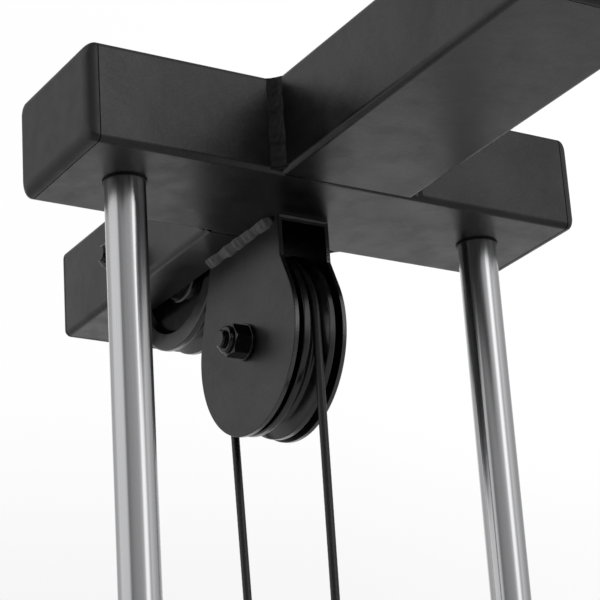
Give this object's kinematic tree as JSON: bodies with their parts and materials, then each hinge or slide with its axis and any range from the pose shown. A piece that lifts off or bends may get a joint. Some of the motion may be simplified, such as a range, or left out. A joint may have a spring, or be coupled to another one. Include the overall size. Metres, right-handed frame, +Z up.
{
  "type": "overhead cable pulley head",
  "caption": "Black tubular cross with domed end caps, two chrome guide rods, a cheek-plate pulley block carrying a coated cable, and a second pulley in a through slot.",
  "frame": {"origin": "centre of the crossbar's top face", "axes": "+X along the crossbar, +Y from the boom towards the short stub, +Z up"},
  "size_m": [0.3526, 0.5641, 0.397],
  "materials": {
    "black_powder_coat": "satin black powder coat with fine orange peel",
    "cap_plastic": "fine-textured black polyethylene",
    "chrome_rod": "hard chrome, ground and polished",
    "plain_steel": "bright zinc plated steel",
    "black_zinc": "glossy black oxide on steel",
    "pulley_nylon": "satin moulded black nylon",
    "bearing_steel": "ground bearing steel",
    "seal_rubber": "matt black nitrile rubber",
    "cable_jacket": "smooth black nylon coating over wire rope"
  },
  "bodies": {
    "root": {"crossbar_tube": "black_powder_coat", "boom_tube": "black_powder_coat", "stub_tube": "black_powder_coat", "crossbar_cap_left": "cap_plastic", "crossbar_cap_right": "cap_plastic", "boom_cap": "cap_plastic", "stub_cap": "cap_plastic", "guide_rod_left": "chrome_rod", "guide_rod_right": "chrome_rod", "rod_socket_left": "plain_steel", "rod_socket_right": "plain_steel", "rod_collars": "cap_plastic", "rod_set_screws": "black_zinc", "pulley_bracket": "black_powder_coat", "front_bearing_inner_rings": "bearing_steel", "front_axle_sleeves": "plain_steel", "front_axle_washers": "black_zinc", "front_axle_bolt": "black_zinc", "front_axle_nut": "black_zinc", "rear_bearing_inner_rings": "bearing_steel", "rear_axle_sleeves": "plain_steel", "rear_axle_washers": "black_zinc", "rear_axle_bolt": "black_zinc", "rear_axle_nut": "black_zinc", "lift_cable": "cable_jacket", "stack_stud": "plain_steel", "stack_jam_nuts": "plain_steel", "pull_eye": "plain_steel"},
    "front_wheel": {"front_pulley_wheel": "pulley_nylon", "front_bearing_outer_rings": "bearing_steel", "front_bearing_balls": "bearing_steel", "front_bearing_seals": "seal_rubber"},
    "rear_wheel": {"rear_pulley_wheel": "pulley_nylon", "rear_bearing_outer_rings": "bearing_steel", "rear_bearing_balls": "bearing_steel", "rear_bearing_seals": "seal_rubber"}
  },
  "joints": [
    {"name": "front_pulley_spin", "type": "hinge", "parent": "root", "child": "front_wheel", "pos_m": [0, 0.0538, -0.1336], "axis": [1, 0, 0], "continuous": true},
    {"name": "rear_pulley_spin", "type": "hinge", "parent": "root", "child": "rear_wheel", "pos_m": [0, 0.157, -0.041], "axis": [1, 0, 0], "continuous": true}
  ]
}
